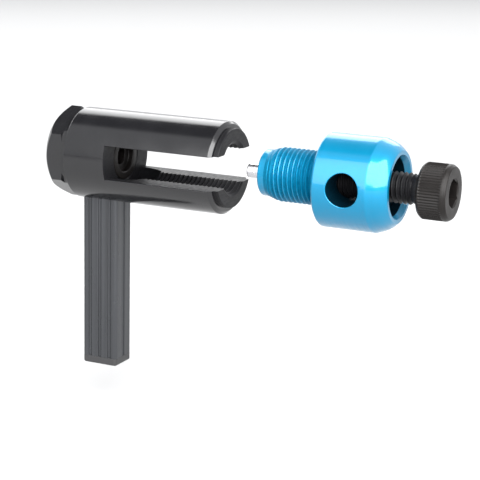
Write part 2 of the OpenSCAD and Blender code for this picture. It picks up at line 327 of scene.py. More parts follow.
def cut(piece, *cutters):
    """Cuts closed pieces away."""
    return joined(piece, *cutters, how="DIFFERENCE")


def rod(name, x0, x1, radius, sides=SIDES):
    """A plain round bar along the tool axis."""
    return turned(name, [(0, x0), (radius, x0), (radius, x1), (0, x1)], sides)


# --- Geometry Nodes ----------------------------------------------------------------------------

class Tree:
    """A Geometry Nodes tree that is built one node at a time."""

    def __init__(self, name, inputs):
        self.group = bpy.data.node_groups.new(name, "GeometryNodeTree")
        self.sockets = {}
        for label, kind, value in inputs:
            socket = self.group.interface.new_socket(label, in_out="INPUT", socket_type=kind)
            if value is not None:
                socket.default_value = value
            self.sockets[label] = socket.identifier
        self.group.interface.new_socket("Geometry", in_out="OUTPUT",
                                        socket_type="NodeSocketGeometry")
        self.inputs = self.group.nodes.new("NodeGroupInput")
        self.output = self.group.nodes.new("NodeGroupOutput")

    def read(self, label):
        """The socket that gives an input's value."""
        return self.inputs.outputs[label]

    def add(self, kind, *values, **settings):
        """A node with its inputs filled in order; None leaves an input as it is."""
        node = self.group.nodes.new(kind)
        for key, value in settings.items():
            setattr(node, key, value)
        for socket, value in zip(node.inputs, values):
            if value is None:
                continue
            if isinstance(value, bpy.types.NodeSocket):
                self.group.links.new(value, socket)
            else:
                socket.default_value = value
        return node.outputs

    def math(self, operation, *values):
        """The result of one sum."""
        return self.add("ShaderNodeMath", *values, operation=operation)[0]

    def end(self, geometry, material):
        """Ends the tree: instances made real, the material set."""
        real = self.add("GeometryNodeRealizeInstances", geometry)[0]
        node = self.group.nodes.new("GeometryNodeSetMaterial")
        self.group.links.new(real, node.inputs["Geometry"])
        self.group.links.new(material, node.inputs["Material"])
        self.group.links.new(node.outputs[0], self.output.inputs[0])

    def apply(self, piece, **values):
        """The piece made over by the tree, with its inputs set by identifier."""
        step = piece.modifiers.new(self.group.name, "NODES")
        step.node_group = self.group
        for label, value in values.items():
            step[self.sockets[label]] = value
        return applied(piece)


def screw_thread_tree():
    """A tree that makes the skin of a right-hand thread about the tool axis.

    A grid is wound round the axis. Its rows follow the helix, eight to a turn of the thread, and
    each row's radius is that of root, flank or crest. Beyond the two ends the rows fold flat."""
    tree = Tree("Screw thread", [
        ("Start", "NodeSocketFloat", 0.0), ("End", "NodeSocketFloat", 0.01),
        ("Root", "NodeSocketFloat", 0.006), ("Crest", "NodeSocketFloat", 0.007),
        ("Lead", "NodeSocketFloat", 0.005), ("Rise", "NodeSocketFloat", 1.0),
        ("Pitch", "NodeSocketFloat", 0.00125),
        ("Sides", "NodeSocketInt", SIDES), ("Material", "NodeSocketMaterial", None)])
    start, end, pitch = tree.read("Start"), tree.read("End"), tree.read("Pitch")
    base = tree.math("SUBTRACT", tree.math("MULTIPLY", tree.math(
        "FLOOR", tree.math("DIVIDE", start, pitch)), pitch), pitch)
    turns = tree.math("ADD", tree.math("CEIL", tree.math(
        "DIVIDE", tree.math("SUBTRACT", end, base), pitch)), 1.0)
    rows_to_a_turn = 8.0
    rows = tree.math("ADD", tree.math("MULTIPLY", turns, rows_to_a_turn), 1.0)
    columns = tree.math("ADD", tree.read("Sides"), 1.0)
    grid = tree.add("GeometryNodeMeshGrid", 1.0, 1.0, columns, rows)[0]
    across, along, _ = tree.add("ShaderNodeSeparateXYZ",
                                tree.add("GeometryNodeInputPosition")[0])[:3]
    share = tree.math("ADD", across, 0.5)
    turn = tree.math("MULTIPLY", tree.math("ADD", along, 0.5), turns)
    raw = tree.math("ADD", base, tree.math("MULTIPLY", tree.math("ADD", turn, share), pitch))
    x = tree.math("MINIMUM", tree.math("MAXIMUM", raw, start), end)
    # a small shift keeps the first row of a turn from falling into the turn before
    shift = 0.001
    phase = tree.math("FRACT", tree.math("ADD", turn, shift))
    # distance from the middle of the crest, as a share of the pitch: 0 at the crest, 0.5 at the root
    away = tree.math("ABSOLUTE", tree.math("SUBTRACT", phase, 0.5 + shift))
    crest_ends, root_starts = 0.07, 0.42
    height = tree.add("ShaderNodeMapRange", away, crest_ends, root_starts, 1.0, 0.0,
                      clamp=True)[0]
    radius = tree.math("ADD", tree.read("Root"), tree.math(
        "MULTIPLY", tree.math("SUBTRACT", tree.read("Crest"), tree.read("Root")), height))
    for side in (tree.math("SUBTRACT", x, start), tree.math("SUBTRACT", end, x)):
        radius = tree.math("MINIMUM", radius, tree.math("ADD", tree.read("Lead"), tree.math(
            "MULTIPLY", side, tree.read("Rise"))))
    angle = tree.math("MULTIPLY", share, TURN)
    place = tree.add("ShaderNodeCombineXYZ", x,
                     tree.math("MULTIPLY", radius, tree.math("COSINE", angle)),
                     tree.math("MULTIPLY", radius, tree.math("SINE", angle)))[0]
    moved = tree.add("GeometryNodeSetPosition", grid, None, place)[0]
    merged = tree.add("GeometryNodeMergeByDistance", moved)[0]
    merged.node.inputs["Distance"].default_value = NEAR
    tree.end(merged, tree.read("Material"))
    return tree


def threaded_rod(name, sizes, start, end, root, crest, lead, rise=1.0):
    """A closed threaded rod along the tool axis. Its ends taper from the lead radius."""
    piece = screw_thread_tree().apply(
        new_object(name, bpy.data.meshes.new(name)), Start=start, End=end, Root=root, Crest=crest,
        Lead=lead, Rise=rise, Pitch=sizes.pitch, Sides=SIDES)
    shape = bmesh.new()
    shape.from_mesh(piece.data)
    bmesh.ops.remove_doubles(shape, verts=shape.verts, dist=NEAR * 2)
    bmesh.ops.dissolve_degenerate(shape, edges=shape.edges, dist=NEAR / 10)
    rims = [edge for edge in shape.edges if edge.is_boundary]
    bmesh.ops.edgeloop_fill(shape, edges=rims)
    old = piece.data
    piece.data = close_mesh(shape, name)
    bpy.data.meshes.remove(old)
    return piece


def knurl_tree():
    """A tree that presses straight knurling into a turned piece about the tool axis."""
    tree = Tree("Straight knurl", [
        ("Geometry", "NodeSocketGeometry", None), ("Start", "NodeSocketFloat", 0.0),
        ("End", "NodeSocketFloat", 0.01), ("Fade", "NodeSocketFloat", 0.0004),
        ("Depth", "NodeSocketFloat", 0.0002), ("Radius", "NodeSocketFloat", 0.007),
        ("Ridges", "NodeSocketInt", 90), ("Material", "NodeSocketMaterial", None)])
    place = tree.add("GeometryNodeInputPosition")[0]
    x, y, z = tree.add("ShaderNodeSeparateXYZ", place)[:3]
    angle = tree.math("ARCTAN2", z, y)
    wave = tree.math("COSINE", tree.math("MULTIPLY", angle, tree.read("Ridges")))
    groove = tree.math("MULTIPLY", tree.math("SUBTRACT", 1.0, wave), 0.5)
    for side in (tree.math("SUBTRACT", x, tree.read("Start")),
                 tree.math("SUBTRACT", tree.read("End"), x)):
        rise = tree.add("ShaderNodeMapRange", side, 0.0, tree.read("Fade"), 0.0, 1.0,
                        clamp=True)[0]
        groove = tree.math("MULTIPLY", groove, rise)
    outward = tree.add("ShaderNodeCombineXYZ", 0.0, y, z)[0]
    across = tree.add("ShaderNodeVectorMath", outward, operation="LENGTH")[1]
    skin = tree.math("GREATER_THAN", across,
                     tree.math("SUBTRACT", tree.read("Radius"), 0.3 * MM))
    depth = tree.math("MULTIPLY", tree.math("MULTIPLY", groove, tree.read("Depth")), skin)
    push = tree.add("ShaderNodeVectorMath",
                    tree.add("ShaderNodeVectorMath", outward, operation="NORMALIZE")[0],
                    operation="SCALE")[0]
    tree.group.links.new(tree.math("MULTIPLY", depth, -1.0), push.node.inputs["Scale"])
    moved = tree.add("GeometryNodeSetPosition", tree.read("Geometry"), None, None, push)[0]
    tree.end(moved, tree.read("Material"))
    return tree


# --- Materials ---------------------------------------------------------------------------------

class Paint:
    """A Principled material that is built one node at a time."""

    def __init__(self, name, **settings):
        self.material = bpy.data.materials.new(name)
        self.material.use_nodes = True
        self.tree = self.material.node_tree
        self.shader = self.tree.nodes["Principled BSDF"]
        for label, value in settings.items():
            self.shader.inputs[label.replace("_", " ")].default_value = value

    def add(self, kind, links=(), **values):
        """A node. Keys that are inputs are set as inputs, and the rest as settings."""
        node = self.tree.nodes.new(kind)
        for key, value in values.items():
            label = key.replace("_", " ")
            if label in node.inputs:
                node.inputs[label].default_value = value
            else:
                setattr(node, key.lower(), value)
        for label, source in dict(links).items():
            self.tree.links.new(source, node.inputs[label])
        return node

    def place(self, scale=(1.0, 1.0, 1.0)):
        """Object coordinates, scaled."""
        where = self.add("ShaderNodeTexCoord").outputs["Object"]
        return self.add("ShaderNodeMapping", {"Vector": where}, Scale=scale).outputs[0]

    def noise(self, scale, stretch=(1.0, 1.0, 1.0), detail=3.0, roughness=0.55):
        """A noise pattern, in turns per metre."""
        return self.add("ShaderNodeTexNoise", {"Vector": self.place(stretch)}, Scale=scale,
                        Detail=detail, Roughness=roughness).outputs[0]

    def ramp(self, source, start, end):
        """A number that follows a noise pattern from start to end."""
        return self.add("ShaderNodeMapRange", {"Value": source}, From_Min=0.3, From_Max=0.7,
                        To_Min=start, To_Max=end).outputs[0]

    def shade(self, source, dark, light):
        """A colour between two, by a pattern."""
        node = self.add("ShaderNodeMix", data_type="RGBA")
        self.tree.links.new(source, node.inputs[0])
        node.inputs[6].default_value = (*dark, 1.0)
        node.inputs[7].default_value = (*light, 1.0)
        return node.outputs[2]

    def bump(self, source, height, strength):
        """A bump of the given height in metres."""
        return self.add("ShaderNodeBump", {"Height": source}, Strength=strength,
                        Distance=height).outputs[0]

    def use(self, label, source):
        """Links a pattern to one of the shader's inputs."""
        self.tree.links.new(source, self.shader.inputs[label])
        return self


def tint(base, factor):
    """A colour made lighter or darker."""
    return tuple(min(1.0, part * factor) for part in base)


def black_anodised(base):
    """Polished black anodising: a hard clear skin over faint turning marks."""
    paint = Paint("black_anodised", Roughness=0.15, IOR=1.52)
    marks = paint.noise(2200.0, (1.0, 0.04, 0.04), detail=2.0)
    haze = paint.noise(160.0, detail=4.0)
    paint.use("Base Color", paint.shade(haze, tint(base, 0.8), tint(base, 1.3)))
    paint.use("Roughness", paint.ramp(haze, 0.13, 0.19))
    return paint.use("Normal", paint.bump(marks, 0.000002, 0.3)).material


def unpolished_painted_shade(name, base, metallic=0.0):
    """Anodising without the polish over surfaces that were milled, bored or threaded: rougher and
    less shiny than the polished skin, so it paints shade into these hollows and threads; where it is
    given a darker copy of a colour, that colour is painted shade as well.
    """
    paint = Paint(name, Roughness=0.45, Metallic=metallic, Specular_IOR_Level=0.15)
    marks = paint.noise(1800.0, (1.0, 0.3, 1.0), detail=3.0)
    paint.use("Base Color", paint.shade(marks, tint(base, 0.7), tint(base, 1.5)))
    paint.use("Roughness", paint.ramp(marks, 0.36, 0.54))
    return paint.use("Normal", paint.bump(marks, 0.000004, 0.5)).material


def handle_anodised(base):
    """Satin anodising over an extruded bar, with long die lines."""
    paint = Paint("handle_anodised", Metallic=0.8, Roughness=0.26)
    lines = paint.noise(1100.0, (1.0, 1.0, 0.008), detail=4.0)
    haze = paint.noise(90.0, (1.0, 1.0, 0.2), detail=4.0)
    paint.use("Base Color", paint.shade(lines, tint(base, 0.35), tint(base, 1.7)))
    paint.use("Roughness", paint.ramp(haze, 0.22, 0.34))
    return paint.use("Normal", paint.bump(lines, 0.00001, 0.9)).material


def blue_anodised(base):
    """Bright blue anodising: an even blue under a hard clear skin with faint turning marks."""
    paint = Paint("blue_anodised", Metallic=0.5, Roughness=0.38, Coat_Weight=0.75,
                  Coat_Roughness=0.1, Coat_IOR=1.46, Specular_IOR_Level=0.1)
    marks = paint.noise(2600.0, (1.0, 0.03, 0.03), detail=2.0)
    haze = paint.noise(140.0, detail=4.0)
    paint.use("Base Color", paint.shade(haze, tint(base, 0.95), tint(base, 1.05)))
    paint.use("Roughness", paint.ramp(marks, 0.32, 0.44))
    return paint.use("Normal", paint.bump(marks, 0.000002, 0.4)).material


def black_oxide(base):
    """Oiled black oxide on a forged screw."""
    paint = Paint("black_oxide_steel", Metallic=0.15, Roughness=0.42, Specular_IOR_Level=0.2)
    grain = paint.noise(2400.0, detail=4.0, roughness=0.65)
    haze = paint.noise(260.0, detail=4.0)
    paint.use("Base Color", paint.shade(haze, tint(base, 0.7), tint(base, 1.4)))
    paint.use("Roughness", paint.ramp(haze, 0.34, 0.5))
    return paint.use("Normal", paint.bump(grain, 0.00001, 0.5)).material


def ground_metal(name, base, roughness):
    """Bare ground metal with fine marks round the axis."""
    paint = Paint(name, Metallic=1.0, Roughness=roughness)
    marks = paint.noise(2600.0, (1.0, 0.1, 0.1), detail=3.0)
    paint.use("Base Color", paint.shade(marks, tint(base, 0.85), tint(base, 1.1)))
    paint.use("Roughness", paint.ramp(marks, roughness * 0.8, roughness * 1.3))
    return paint.use("Normal", paint.bump(marks, 0.000003, 0.6)).material


def moulded(name, base, roughness):
    """Moulded plastic or rubber with a fine skin."""
    paint = Paint(name, Roughness=roughness)
    grain = paint.noise(3800.0, detail=3.0)
    paint.use("Base Color", paint.shade(grain, tint(base, 0.85), tint(base, 1.2)))
    paint.use("Roughness", paint.ramp(grain, roughness - 0.08, roughness + 0.08))
    return paint.use("Normal", paint.bump(grain, 0.000012, 0.5)).material


MATERIALS = {}


def make_materials(finishes):
    """Makes each finish once."""
    MATERIALS.update({
        "black_anodised": black_anodised(finishes.black),
        # The next three finishes are painted shade. They are duller copies of their finishes, and the
        # blue ones are also darker, for the insides of bores and hollows and for thread flanks.
        "black_inside_painted_shade": unpolished_painted_shade("black_inside_painted_shade", finishes.black),
        "blue_inside_painted_shade": unpolished_painted_shade("blue_inside_painted_shade", tint(finishes.blue, 0.06), 0.3),
        "blue_thread_painted_shade": unpolished_painted_shade("blue_thread_painted_shade", tint(finishes.blue, 0.68), 0.5),
        "grey_anodised": handle_anodised(finishes.handle),
        "blue_anodised": blue_anodised(finishes.blue),
        "black_oxide_steel": black_oxide(finishes.oxide),
        "bright_steel": ground_metal("bright_steel", finishes.steel, 0.24),
        "bronze": ground_metal("bronze", finishes.bronze, 0.3),
        "black_plastic": moulded("black_plastic", finishes.plastic, 0.5),
        "black_rubber": moulded("black_rubber", finishes.rubber, 0.6),
    })


def dress(piece, slot, body, node, sharp=32):
    """Smooths a piece's shading, gives it its material and puts it in its CAD node's place."""
    shape = bmesh.new()
    shape.from_mesh(piece.data)
    bmesh.ops.remove_doubles(shape, verts=shape.verts, dist=NEAR)
    shape.to_mesh(piece.data)
    shape.free()
    piece.data.shade_smooth()
    piece.data.set_sharp_from_angle(angle=math.radians(sharp))
    normals = piece.modifiers.new("normals", "WEIGHTED_NORMAL")
    normals.keep_sharp = True
    normals.weight = 60
    applied(piece)
    piece.data.materials.clear()
    piece.data.materials.append(MATERIALS[slot])
    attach(piece, body)
    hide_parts(node)


def paint_shade_inside(piece, slot, inside):
    """Gives the faces for which inside(x, y, z) holds the finish of the slot named, which is a duller
    or darker copy that paints shade into hollows, bores and threads.
    """
    piece.data.materials.append(MATERIALS[slot])
    index = len(piece.data.materials) - 1
    for face in piece.data.polygons:
        if inside(*face.center):
            face.material_index = index


# --- Shapes ------------------------------------------------------------------------------------

def rear_hexagon(sizes):
    """The barrel's hexagon, bevelled behind and turned down to a groove in front."""
    end, groove = sizes.hex_length, sizes.hex_length - sizes.hex_groove
    full = HEX_CORNER_R + 0.2 * MM
    length_over_height = 0.9
    bevel_length = (full - sizes.hex_end_r) * length_over_height
    limits = turned("hex_limits", rounded([
        (0, 0), (sizes.hex_end_r, 0, 0.2 * MM), (full, bevel_length), (full, groove - 0.25 * MM),
        (sizes.hex_groove_r, groove), (sizes.hex_groove_r, end + PAST), (0, end + PAST)], 4))
    bar = extruded("hexagon", rounded([(y, z, 0.12 * MM) for y, z in hexagon(HEX_CORNER_R)], 3),
                   -PAST, end + 0.5 * MM, along_x)
    return joined(bar, limits, how="INTERSECT")


def slot_chamber(sizes, thread):
    """The domed hollow behind the clamp thread, at the back of the slot."""
    widening = sizes.chamber_r - thread.clamp_minor_r
    dome = [(thread.clamp_minor_r + widening * math.cos(angle),
             SLOT_BACK + sizes.chamber_length * math.sin(angle))
            for angle in (TURN / 4 * k / 20 for k in range(21))]
    return turned("chamber", [(0, SLOT_BACK), *dome, (0, SLOT_BACK + sizes.chamber_length)])


def slot_cutter(sizes):
    """The chain slot's cutter, with lips that round the slot's long edges."""
    half, lip = sizes.slot_half, sizes.slot_lip
    centre_z = half + lip
    centre_y = math.sqrt((BARREL_R - lip) ** 2 - centre_z ** 2)
    leave = math.atan2(centre_z, centre_y)
    quarter = []
    for k in range(7):
        angle = -TURN / 4 + (leave + TURN / 4) * k / 6
        quarter.append((centre_y + lip * math.cos(angle), centre_z + lip * math.sin(angle)))
    reach = (BARREL_R + 2 * PAST) / BARREL_R
    quarter.append((BARREL_R * reach * math.cos(leave), BARREL_R * reach * math.sin(leave)))
    outline = quarter[::-1] + [(-y, z) for y, z in quarter]
    outline += [(-y, -z) for y, z in quarter[::-1]] + [(y, -z) for y, z in quarter]
    return extruded("slot", outline, SLOT_BACK, NOSE_END + PAST, along_x)


def knurled_head(sizes):
    """The drive screw's head, knurled up to a smooth front edge."""
    back, front = HEAD_BACK, HEAD_FRONT
    knurled_share, facets_to_a_ridge, row_spacing = 0.83, 6, 0.15 * MM
    knurl_start, knurl_end = back + 0.6 * MM, back + (front - back) * knurled_share
    outline = rounded([
        (0, back), (HEAD_R - 0.55 * MM, back, 0.2 * MM), (HEAD_R, back + 0.7 * MM, 0.2 * MM),
        (HEAD_R, knurl_end + 0.1 * MM), (HEAD_R - 0.08 * MM, front - 0.8 * MM, 0.5 * MM),
        (HEAD_R - 0.6 * MM, front, 0.3 * MM), (0, front)])
    head = turned("drive_screw", with_rows(outline, HEAD_R - 0.4 * MM, row_spacing),
                  sizes.ridges * facets_to_a_ridge)
    return knurl_tree().apply(head, Start=knurl_start, End=knurl_end, Fade=0.45 * MM,
                              Depth=sizes.ridge_depth, Radius=HEAD_R, Ridges=sizes.ridges)


def with_rows(outline, skin_r, spacing):
    """An outline with points added along its long stretches outside a radius, for knurling."""
    fine = []
    for i, point in enumerate(outline):
        fine.append(point)
        following = outline[(i + 1) % len(outline)]
        gap = abs(following[1] - point[1])
        if point[0] > skin_r and following[0] > skin_r and gap > 2 * spacing:
            parts = int(gap / spacing)
            fine += [(point[0] + (following[0] - point[0]) * k / parts,
                      point[1] + (following[1] - point[1]) * k / parts)
                     for k in range(1, parts)]
    return fine


def screw_neck(sizes, thread):
    """The plain length under the drive screw's head, with its fillet and the thread's run-out."""
    back, thread_end = HEAD_BACK, HEAD_BACK - sizes.neck
    neck_r, fillet_r = thread.screw_major_r - 0.1 * MM, thread.screw_major_r + 1.2 * MM
    return turned("neck", rounded([
        (0, thread_end - 0.8 * MM), (thread.screw_minor_r, thread_end - 0.8 * MM),
        (neck_r, thread_end + 0.3 * MM), (neck_r, back, 0.6 * MM), (fillet_r, back),
        (fillet_r, back + PAST), (0, back + PAST)]))


def socket_cutters(sizes):
    """The hexagon socket, its drilled point and the bevel round its mouth."""
    corner = sizes.socket_flats / math.sqrt(3)
    mouth, floor = HEAD_FRONT, HEAD_FRONT - sizes.socket_depth
    socket = extruded("socket", hexagon(corner), floor, mouth + PAST, along_x)
    drill_r, point_depth, overlap = corner * 0.96, corner * 0.55, 0.02 * MM
    point = turned("point", [(0, floor - point_depth), (drill_r, floor + overlap),
                             (0, floor + overlap)], 48)
    bevel_back, flare = mouth - sizes.socket_bevel, 0.25 * MM
    bevel = turned("bevel", [(0, bevel_back), (corner - sizes.socket_bevel, bevel_back),
                             (corner + flare, mouth + flare), (0, mouth + flare)])
    return socket, point, bevel


def cross_hole_cutter(sizes, centre_x):
    """The cross hole's cutter, with mouths that round its edges where they meet the knob."""
    steps, around = 6, 96
    rings = []
    for side in (-1, 1):
        mouth = []
        for k in range(steps + 2):
            angle = min(k, steps) / steps * TURN / 4
            radius = sizes.cross_r + sizes.cross_lip * (1 - math.cos(angle))
            sink = sizes.cross_lip * (1 - math.sin(angle))
            ring = []
            for i in range(around):
                turn = TURN * i / around
                height = radius * math.sin(turn)
                skin = math.sqrt(KNOB_R ** 2 - height ** 2)
                depth = skin - sink if k <= steps else KNOB_R + PAST
                ring.append((centre_x + radius * math.cos(turn), side * depth, height))
            mouth.append(ring)
        rings += reversed(mouth) if side < 0 else mouth
    shape = bmesh.new()
    made = [[shape.verts.new(point) for point in ring] for ring in rings]
    for ring, following in zip(made, made[1:]):
        for i in range(around):
            j = (i + 1) % around
            shape.faces.new((ring[i], ring[j], following[j], following[i]))
    shape.faces.new(made[0])
    shape.faces.new(made[-1])
    return new_object("cross_hole", close_mesh(shape, "cross_hole"))


def round_corner(x, y, radius, first, steps=8):
    """A quarter circle about (x, y)."""
    return [(x + radius * math.cos(first + TURN / 4 * k / steps),
             y + radius * math.sin(first + TURN / 4 * k / steps)) for k in range(steps + 1)]


def handle_corners(half_w, half_t, corner):
    """The centre and the first angle of each rounded corner of the handle's section."""
    x, y = half_w - corner, half_t - corner
    return [(x, -y, -TURN / 4), (x, y, 0.0), (-x, y, TURN / 4), (-x, -y, TURN / 2)]


def handle_outline(sizes, half_w, half_t):
    """The handle's section: a rounded box with grooves, three on a broad side and one on a narrow."""
    corner, wide, deep = sizes.corner_r, sizes.groove_width / 2, sizes.groove_depth
    lip = 0.12 * MM

    def groove(along, face):
        """A groove's points, in order of rising position along the side."""
        points = [(along - wide - lip, face), (along - wide, face - lip)]
        for k in range(9):
            angle = TURN / 2 * (1 - k / 8)
            points.append((along + wide * math.cos(angle),
                           face - deep + wide * (1 - math.sin(angle)) * 0.5))
        return points + [(along + wide, face - lip), (along + wide + lip, face)]

    broad = [point for i in (-1, 0, 1) for point in groove(i * sizes.groove_pitch, half_t)]
    narrow = groove(0.0, half_w)
    sides = [[(x, -y) for x, y in broad], [(y, x) for x, y in narrow],
             [(x, y) for x, y in reversed(broad)], [(-y, x) for x, y in reversed(narrow)]]
    outline = []
    for side, (x, y, first) in zip(sides, handle_corners(half_w, half_t, corner)):
        outline += side + round_corner(x, y, corner, first)
    return outline


# --- Operators ---------------------------------------------------------------------------------

class MakeFinishes(bpy.types.Operator):
    """Make the materials"""
    bl_idname = "chain_tool.finishes"
    bl_label = "Finishes"

    def execute(self, context):
        make_materials(context.scene.chain_finish)
        return {"FINISHED"}


class MakeBarrel(bpy.types.Operator):
    """Make the slotted barrel with its hexagon and clamp thread"""
    bl_idname = "chain_tool.barrel"
    bl_label = "Barrel"

    def execute(self, context):
        sizes, thread = context.scene.chain_barrel, context.scene.chain_thread
        rim = sizes.rim_x
        barrel = turned("barrel", rounded([
            (0, sizes.hex_length), (BARREL_R, sizes.hex_length, 0.3 * MM),
            (BARREL_R, rim - sizes.rim_bevel, 0.35 * MM),
            (BARREL_R - sizes.rim_bevel, rim, 0.3 * MM), (sizes.nose_r, rim, 0.1 * MM),
            (sizes.nose_r, NOSE_END, 0.28 * MM), (0, NOSE_END)]))
        joined(barrel, rear_hexagon(sizes))
        bore = threaded_rod("bore", thread, SLOT_BACK - PAST, NOSE_END + PAST,
                            thread.clamp_minor_r + thread.play, thread.clamp_major_r + thread.play,
                            thread.clamp_minor_r - 0.5 * MM)
        mouth_back, mouth_r = NOSE_END - 0.8 * MM, thread.clamp_major_r + 0.3 * MM
        mouth = turned("mouth", [
            (0, mouth_back), (thread.clamp_minor_r, mouth_back), (mouth_r, NOSE_END),
            (mouth_r, NOSE_END + PAST), (0, NOSE_END + PAST)])
        pocket = rod("pocket", ANVIL_BACK, SLOT_BACK + PAST, ANVIL_R)
        plug_hole = rod("plug_hole", -PAST, ANVIL_BACK + PAST, sizes.plug_r)
        cut(barrel, slot_cutter(sizes), bore, mouth, slot_chamber(sizes, thread), pocket, plug_hole)
        dress(barrel, "black_anodised", "body", "barrel")
        # Painted shade: the faces of the bore, the chamber and the slot get a duller, less shiny
        # black.
        paint_shade_inside(barrel, "black_inside_painted_shade", lambda x, y, z: (
            x > sizes.hex_length and math.hypot(y, z) < sizes.nose_r + 0.05 * MM))
        return {"FINISHED"}


class MakeAnvil(bpy.types.Operator):
    """Make the hardened anvil at the back of the chain slot"""
    bl_idname = "chain_tool.anvil"
    bl_label = "Anvil"

    def execute(self, context):
        sizes = context.scene.chain_barrel
        seat, hole = sizes.anvil_seat_r, sizes.exit_hole_r
        floor = SLOT_BACK - sizes.anvil_seat
        anvil = turned("anvil", rounded([
            (hole, ANVIL_BACK), (ANVIL_R, ANVIL_BACK, 0.3 * MM), (ANVIL_R, SLOT_BACK, 0.12 * MM),
            (seat, SLOT_BACK, 0.25 * MM), (seat, floor, 0.4 * MM), (hole, floor, 0.25 * MM)]))
        dress(anvil, "black_oxide_steel", "body", "anvil")
        return {"FINISHED"}


class MakeRearPlug(bpy.types.Operator):
    """Make the rear plug with its exit hole and two spanner holes"""
    bl_idname = "chain_tool.rear_plug"
    bl_label = "Rear plug"

    def execute(self, context):
        sizes = context.scene.chain_barrel
        hole, outer = sizes.exit_hole_r, sizes.plug_r
        plug = turned("rear_plug", rounded([
            (hole, 0, 0.25 * MM), (outer, 0, 0.3 * MM), (outer, ANVIL_BACK), (hole, ANVIL_BACK)]))
        spanner_depth, spanner_r, spanner_y = 2.5 * MM, 0.8 * MM, 3.6 * MM
        for side in (-1, 1):
            pin_hole = rod("pin_hole", -PAST, spanner_depth, spanner_r, 32)
            pin_hole.data.transform(Matrix.Translation((0, side * spanner_y, 0)))
            cut(plug, pin_hole)
        dress(plug, "black_oxide_steel", "body", "rear_plug")
        return {"FINISHED"}


class MakeClampKnob(bpy.types.Operator):
    """Make the clamp knob with its thread, cross hole and counterbore"""
    bl_idname = "chain_tool.clamp_knob"
    bl_label = "Clamp knob"

    def execute(self, context):
        sizes, thread = context.scene.chain_knob, context.scene.chain_thread
        front, back = KNOB_FRONT, KNOB_BACK
        knob = turned("clamp_knob", rounded([
            (0, back), (KNOB_R, back, 0.7 * MM), (KNOB_R, front - sizes.nose_length, 1.5 * MM),
            (sizes.rim_r, front - sizes.rim_fall, 7.0 * MM),
            (sizes.mouth_r + sizes.rim_edge, front, 0.5 * MM), (0, front)], 12))
        start = SHANK_TIP + sizes.pilot_length
        rise = (thread.clamp_major_r - sizes.pilot_r) / sizes.thread_lead
        shank = threaded_rod("shank", thread, start, back + sizes.thread_lead + PAST,
                             thread.clamp_minor_r, thread.clamp_major_r, sizes.pilot_r, rise)
        pilot = turned("pilot", rounded([
            (0, SHANK_TIP), (sizes.pilot_r, SHANK_TIP, 0.45 * MM), (sizes.pilot_r, start + 0.1 * MM),
            (0, start + 0.1 * MM)]))
        joined(knob, shank, pilot)
        floor = front - sizes.counterbore_depth
        insert_back = high("thread_insert").x
        pocket = rod("pocket", SHANK_TIP - PAST, insert_back, sizes.pocket_r)
        bore = rod("bore", insert_back - PAST, floor + PAST, sizes.bore_r)
        mouth = turned("mouth", rounded([
            (0, floor), (sizes.counterbore_r, floor, 0.4 * MM),
            (sizes.counterbore_r, front - sizes.mouth_bevel, 0.15 * MM), (sizes.mouth_r, front),
            (sizes.mouth_r, front + PAST), (0, front + PAST)]))
        cut(knob, pocket, bore, mouth, cross_hole_cutter(sizes, back + sizes.cross_x))
        dress(knob, "blue_anodised", "knob", "clamp_knob")
        # Painted shade: the cross hole and the counterbore get a near-black blue.
        cross_x, hole_r = back + sizes.cross_x, sizes.cross_r + 0.02 * MM
        paint_shade_inside(knob, "blue_inside_painted_shade", lambda x, y, z: (
            math.hypot(x - cross_x, z) < hole_r and math.hypot(y, z) < KNOB_R - 0.2 * MM
            or math.hypot(y, z) < sizes.counterbore_r + 0.02 * MM and x > back))
        # Painted shade: the thread's flanks and roots get a darker blue, so only the crests keep the
        # bright blue.
        flank_r = thread.clamp_major_r - 0.12 * MM
        paint_shade_inside(knob, "blue_thread_painted_shade", lambda x, y, z: (
            start < x < back - 0.02 * MM and sizes.pocket_r < math.hypot(y, z) < flank_r))
        return {"FINISHED"}


class MakeDriveScrew(bpy.types.Operator):
    """Make the drive screw with its knurled head, socket and thread"""
    bl_idname = "chain_tool.drive_screw"
    bl_label = "Drive screw"

    def execute(self, context):
        sizes, thread = context.scene.chain_screw, context.scene.chain_thread
        back = HEAD_BACK
        head = knurled_head(sizes)
        shank = threaded_rod("shank", thread, SCREW_TIP, back - sizes.neck, thread.screw_minor_r,
                             thread.screw_major_r, thread.screw_minor_r - 0.3 * MM)
        joined(head, shank, screw_neck(sizes, thread))
        pin_bore = rod("pin_bore", SCREW_TIP - PAST, high("thrust_ball").x,
                       high("pin_retaining_ring").y)
        cut(head, *socket_cutters(sizes), pin_bore)
        dress(head, "black_oxide_steel", "screw", "drive_screw", sharp=38)
        # Painted shade: everything behind the head, the neck, thread and pin bore, gets a darker,
        # duller black.
        paint_shade_inside(head, "black_inside_painted_shade", lambda x, y, z: x < back - 0.3 * MM)
        return {"FINISHED"}


